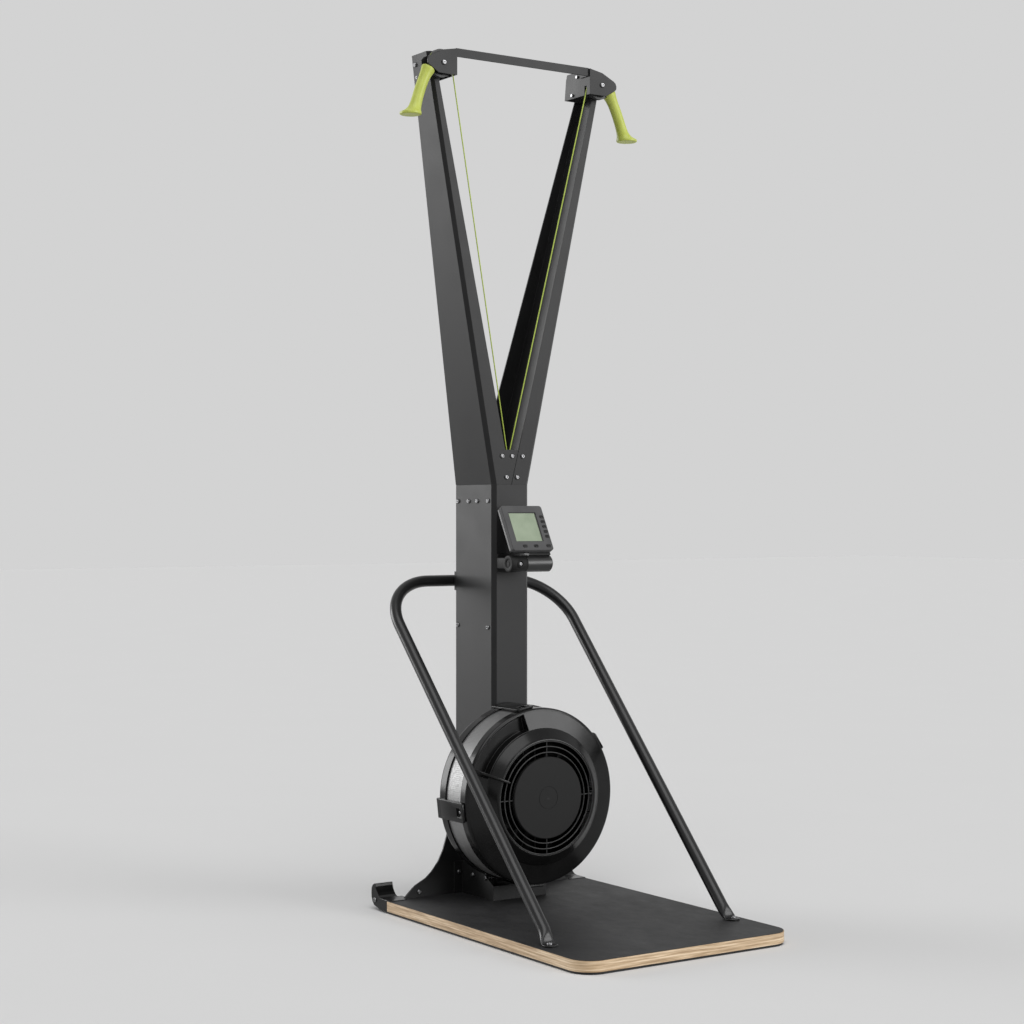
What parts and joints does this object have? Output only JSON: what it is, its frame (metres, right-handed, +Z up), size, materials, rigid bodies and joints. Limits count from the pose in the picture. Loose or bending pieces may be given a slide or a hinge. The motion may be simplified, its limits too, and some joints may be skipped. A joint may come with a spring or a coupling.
{
  "type": "ski trainer machine",
  "caption": "Standing ski trainer with a deck, folded column, V arms, rope handles, damped fan brake, bent brace and tilting monitor.",
  "frame": {"origin": "middle of the overall box on the floor, under the deck", "axes": "+Z up, -Y towards the user standing on the deck, +X to the user's right as they face the machine"},
  "size_m": [0.7054, 0.94, 2.131],
  "materials": {
    "powder_coat": "satin",
    "plywood": "satin",
    "laminate": "matt",
    "underlay": "matt",
    "black_plastic": "satin",
    "band_mesh": "satin",
    "grille_wire": "satin",
    "cap_plastic": "satin",
    "pulley_nylon": "satin",
    "bright_steel": "satin",
    "cast_alloy": "cast",
    "fan_grey": "satin",
    "cord_lime": "woven",
    "grip_lime": "satin",
    "monitor_grey": "satin",
    "monitor_black": "satin",
    "screen": "gloss",
    "button_rubber": "matt",
    "tyre_black": "matt"
  },
  "bodies": {
    "frame": {"deck_board": "plywood", "deck_laminate": "laminate", "deck_underlay": "underlay", "foot_bracket": "powder_coat", "column_foot": "powder_coat", "rear_gusset": "powder_coat", "wheel_shoe_left": "black_plastic", "wheel_shoe_right": "black_plastic", "column": "powder_coat", "column_back": "powder_coat", "arm_left": "powder_coat", "arm_right": "powder_coat", "splice_sleeve": "powder_coat", "crossbar": "powder_coat", "pulley_bracket_left": "powder_coat", "pulley_bracket_right": "powder_coat", "pulley_pins": "bright_steel", "rope_left": "cord_lime", "rope_right": "cord_lime", "rope_leader_left": "cord_lime", "rope_leader_right": "cord_lime", "brace_left": "powder_coat", "brace_right": "powder_coat", "brace_clamp": "powder_coat", "fan_rear_shell": "black_plastic", "fan_band": "band_mesh", "fan_front_shell": "black_plastic", "fan_grille": "grille_wire", "hub_cap": "cap_plastic", "housing_clips": "black_plastic", "bearing_block": "cast_alloy", "drum_bracket": "cast_alloy", "return_springs": "bright_steel", "frame_bolts": "bright_steel", "small_screws": "bright_steel", "wheel_axles": "bright_steel", "monitor_arm": "monitor_grey"},
    "handle_left": {"handle_left": "grip_lime"},
    "handle_right": {"handle_right": "grip_lime"},
    "top_pulley_left": {"top_pulley_left": "pulley_nylon"},
    "top_pulley_right": {"top_pulley_right": "pulley_nylon"},
    "guide_pulley_left": {"guide_pulley_left": "pulley_nylon"},
    "guide_pulley_right": {"guide_pulley_right": "pulley_nylon"},
    "drive_drum_left": {"drive_drum_left": "cast_alloy"},
    "drive_drum_right": {"drive_drum_right": "cast_alloy"},
    "fan_wheel": {"fan_wheel": "fan_grey"},
    "damper": {"damper_lever": "black_plastic"},
    "transport_wheel_left": {"transport_wheel_left": "tyre_black"},
    "transport_wheel_right": {"transport_wheel_right": "tyre_black"},
    "monitor": {"monitor_case": "monitor_grey", "monitor_back": "monitor_black", "monitor_screen": "screen"},
    "button_side_1": {"button_side_1": "button_rubber"},
    "button_side_2": {"button_side_2": "button_rubber"},
    "button_side_3": {"button_side_3": "button_rubber"},
    "button_side_4": {"button_side_4": "button_rubber"},
    "button_side_5": {"button_side_5": "button_rubber"},
    "button_low_1": {"button_low_1": "button_rubber"},
    "button_low_2": {"button_low_2": "button_rubber"},
    "button_low_3": {"button_low_3": "button_rubber"}
  },
  "joints": [
    {"name": "handle_pull_left", "type": "slide", "parent": "frame", "child": "handle_left", "axis": [0, 0, -1], "range_m": [0, 1.1], "stiffness_N_per_m": 14, "springref_m": -0.8, "deforming": ["rope_leader_left"]},
    {"name": "top_pulley_spin_left", "type": "hinge", "parent": "frame", "child": "top_pulley_left", "pos_m": [-0.2387, 0.209, 2.091], "axis": [0, -1, 0], "range_deg": [0, 1980]},
    {"name": "guide_pulley_spin_left", "type": "hinge", "parent": "frame", "child": "guide_pulley_left", "pos_m": [-0.0136, 0.268, 1.1425], "axis": [0, -1, 0], "range_deg": [0, 5790]},
    {"name": "drum_spin_left", "type": "hinge", "parent": "frame", "child": "drive_drum_left", "pos_m": [0, 0.272, 0.296], "axis": [0, -1, 0], "range_deg": [0, 2275]},
    {"name": "transport_wheel_spin_left", "type": "hinge", "parent": "frame", "child": "transport_wheel_left", "pos_m": [-0.275, 0.4185, 0.0255], "axis": [1, 0, 0], "continuous": true},
    {"name": "handle_pull_right", "type": "slide", "parent": "frame", "child": "handle_right", "axis": [0, 0, -1], "range_m": [0, 1.1], "stiffness_N_per_m": 14, "springref_m": -0.8, "deforming": ["rope_leader_right"]},
    {"name": "top_pulley_spin_right", "type": "hinge", "parent": "frame", "child": "top_pulley_right", "pos_m": [0.2387, 0.209, 2.091], "axis": [0, 1, 0], "range_deg": [0, 1980]},
    {"name": "guide_pulley_spin_right", "type": "hinge", "parent": "frame", "child": "guide_pulley_right", "pos_m": [0.0136, 0.268, 1.1425], "axis": [0, 1, 0], "range_deg": [0, 5790]},
    {"name": "drum_spin_right", "type": "hinge", "parent": "frame", "child": "drive_drum_right", "pos_m": [0, 0.31, 0.296], "axis": [0, -1, 0], "range_deg": [0, 2275]},
    {"name": "transport_wheel_spin_right", "type": "hinge", "parent": "frame", "child": "transport_wheel_right", "pos_m": [0.275, 0.4185, 0.0255], "axis": [1, 0, 0], "continuous": true},
    {"name": "fan_spin", "type": "hinge", "parent": "frame", "child": "fan_wheel", "pos_m": [0, 0.256, 0.296], "axis": [0, -1, 0], "continuous": true},
    {"name": "damper_turn", "type": "hinge", "parent": "frame", "child": "damper", "pos_m": [0, 0.142, 0.296], "axis": [0, 1, 0], "range_deg": [0, 48]},
    {"name": "monitor_tilt", "type": "hinge", "parent": "frame", "child": "monitor", "pos_m": [0, 0.176, 0.8695], "axis": [1, 0, 0], "range_deg": [-6, 40]},
    {"name": "button_side_1_press", "type": "slide", "parent": "monitor", "child": "button_side_1", "axis": [0, 0.8813, -0.4726], "range_m": [0, 0.0008], "stiffness_N_per_m": 300, "springref_m": -0.001},
    {"name": "button_side_2_press", "type": "slide", "parent": "monitor", "child": "button_side_2", "axis": [0, 0.8813, -0.4726], "range_m": [0, 0.0008], "stiffness_N_per_m": 300, "springref_m": -0.001},
    {"name": "button_side_3_press", "type": "slide", "parent": "monitor", "child": "button_side_3", "axis": [0, 0.8813, -0.4726], "range_m": [0, 0.0008], "stiffness_N_per_m": 300, "springref_m": -0.001},
    {"name": "button_side_4_press", "type": "slide", "parent": "monitor", "child": "button_side_4", "axis": [0, 0.8813, -0.4726], "range_m": [0, 0.0008], "stiffness_N_per_m": 300, "springref_m": -0.001},
    {"name": "button_side_5_press", "type": "slide", "parent": "monitor", "child": "button_side_5", "axis": [0, 0.8813, -0.4726], "range_m": [0, 0.0008], "stiffness_N_per_m": 300, "springref_m": -0.001},
    {"name": "button_low_1_press", "type": "slide", "parent": "monitor", "child": "button_low_1", "axis": [0, 0.8813, -0.4726], "range_m": [0, 0.0008], "stiffness_N_per_m": 300, "springref_m": -0.001},
    {"name": "button_low_2_press", "type": "slide", "parent": "monitor", "child": "button_low_2", "axis": [0, 0.8813, -0.4726], "range_m": [0, 0.0008], "stiffness_N_per_m": 300, "springref_m": -0.001},
    {"name": "button_low_3_press", "type": "slide", "parent": "monitor", "child": "button_low_3", "axis": [0, 0.8813, -0.4726], "range_m": [0, 0.0008], "stiffness_N_per_m": 300, "springref_m": -0.001}
  ],
  "couplings": [
    {"joint": "top_pulley_spin_left", "follows": "handle_pull_left", "rad_per_m": 31.056},
    {"joint": "guide_pulley_spin_left", "follows": "handle_pull_left", "rad_per_m": 90.909},
    {"joint": "drum_spin_left", "follows": "handle_pull_left", "rad_per_m": 35.714},
    {"joint": "top_pulley_spin_right", "follows": "handle_pull_right", "rad_per_m": 31.056},
    {"joint": "guide_pulley_spin_right", "follows": "handle_pull_right", "rad_per_m": 90.909},
    {"joint": "drum_spin_right", "follows": "handle_pull_right", "rad_per_m": 35.714}
  ]
}
